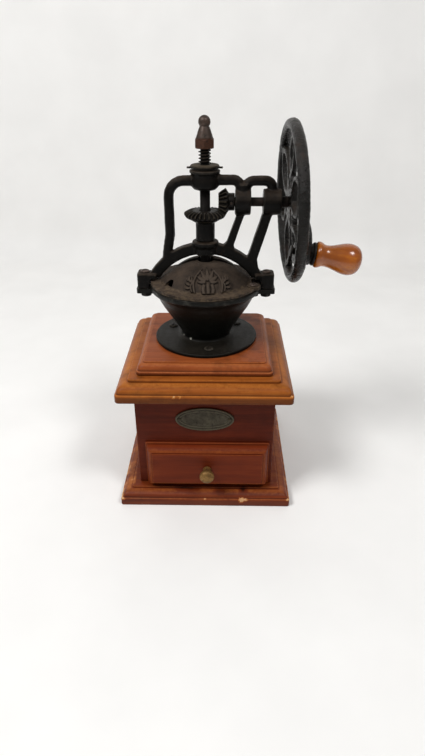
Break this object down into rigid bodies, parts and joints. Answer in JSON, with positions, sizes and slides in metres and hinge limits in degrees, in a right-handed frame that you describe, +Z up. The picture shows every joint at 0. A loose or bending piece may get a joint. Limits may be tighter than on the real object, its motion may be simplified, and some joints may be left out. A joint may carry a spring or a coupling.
{
  "type": "manual coffee grinder",
  "caption": "Hand-cranked coffee mill: wooden box with a drawer, iron hopper with a swinging lid, yoke, bevel gears and an openwork flywheel that carries a turned grip.",
  "frame": {"origin": "middle of the base's underside, on the spindle's axis", "axes": "+Z up along the spindle, +X towards the flywheel and grip, -Y towards the drawer front and badge"},
  "size_m": [0.1708, 0.1391, 0.2724],
  "materials": {
    "wood": "red-brown stain, glossy, worn at the edges",
    "plain_wood": "plain, unstained",
    "grip_wood": "amber varnish",
    "iron": "black, dusty, light rust",
    "steel": "aged, dull",
    "brass": "tarnished",
    "pewter": "dull grey casting"
  },
  "bodies": {
    "mill": {"base_plinth": "wood", "body_front": "wood", "body_back": "wood", "body_left": "wood", "body_right": "wood", "cornice_board": "wood", "raised_plinth": "wood", "badge_plate": "pewter", "badge_pin_left": "pewter", "badge_pin_right": "pewter", "hopper_bowl": "iron", "foot_screw_front": "steel", "foot_screw_right": "steel", "foot_screw_left": "steel", "rear_hood": "iron", "lid_pivot_screw": "steel", "yoke": "iron", "yoke_bolt_left": "steel", "yoke_nut_left": "steel", "yoke_bolt_right": "steel", "yoke_nut_right": "steel", "burr_ring": "iron", "ring_screw_left": "steel", "ring_screw_right": "steel"},
    "drawer": {"drawer_front": "wood", "drawer_side_left": "plain_wood", "drawer_side_right": "plain_wood", "drawer_back": "plain_wood", "drawer_bottom": "plain_wood", "drawer_knob": "brass", "drawer_knob_screw": "steel"},
    "lid": {"hopper_lid": "iron"},
    "crank": {"crank_shaft": "steel", "pinion": "iron", "pinion_pin": "steel", "flywheel": "iron", "wheel_nut": "steel", "crank_stud": "steel", "crank_ferrule": "iron"},
    "grip_body": {"grip": "grip_wood"},
    "crown": {"crown_gear": "iron"},
    "adjuster": {"grind_dial": "iron"},
    "spindle_body": {"spindle": "steel", "inner_burr": "iron", "burr_nut": "steel", "finial_nut": "brass", "finial_spring": "steel"}
  },
  "joints": [
    {"name": "crank_turn", "type": "hinge", "parent": "mill", "child": "crank", "pos_m": [0, 0, 0.2182], "axis": [1, 0, 0], "continuous": true},
    {"name": "grip_spin", "type": "hinge", "parent": "crank", "child": "grip_body", "pos_m": [0.0635, -0.03049, 0.19262], "axis": [0.9877, 0, -0.1564], "continuous": true},
    {"name": "crown_turn", "type": "hinge", "parent": "mill", "child": "crown", "pos_m": [0, 0, 0.2182], "axis": [0, 0, 1], "continuous": true},
    {"name": "adjust_turn", "type": "hinge", "parent": "crown", "child": "adjuster", "pos_m": [0, 0, 0.2396], "axis": [0, 0, 1], "range_deg": [0, 216]},
    {"name": "spindle_lift", "type": "slide", "parent": "crown", "child": "spindle_body", "axis": [0, 0, 1], "range_m": [-0.00075, 0], "deforming": ["finial_spring"]},
    {"name": "lid_swing", "type": "hinge", "parent": "mill", "child": "lid", "pos_m": [0.03469, -0.01451, 0.1608], "axis": [0, 0, 1], "range_deg": [0, 100]},
    {"name": "drawer_slide", "type": "slide", "parent": "mill", "child": "drawer", "axis": [0, -1, 0], "range_m": [0, 0.075]}
  ],
  "couplings": [
    {"joint": "crown_turn", "follows": "crank_turn", "ratio": 0.57143},
    {"joint": "adjust_turn", "follows": "spindle_lift", "rad_per_m": -5026.5}
  ]
}
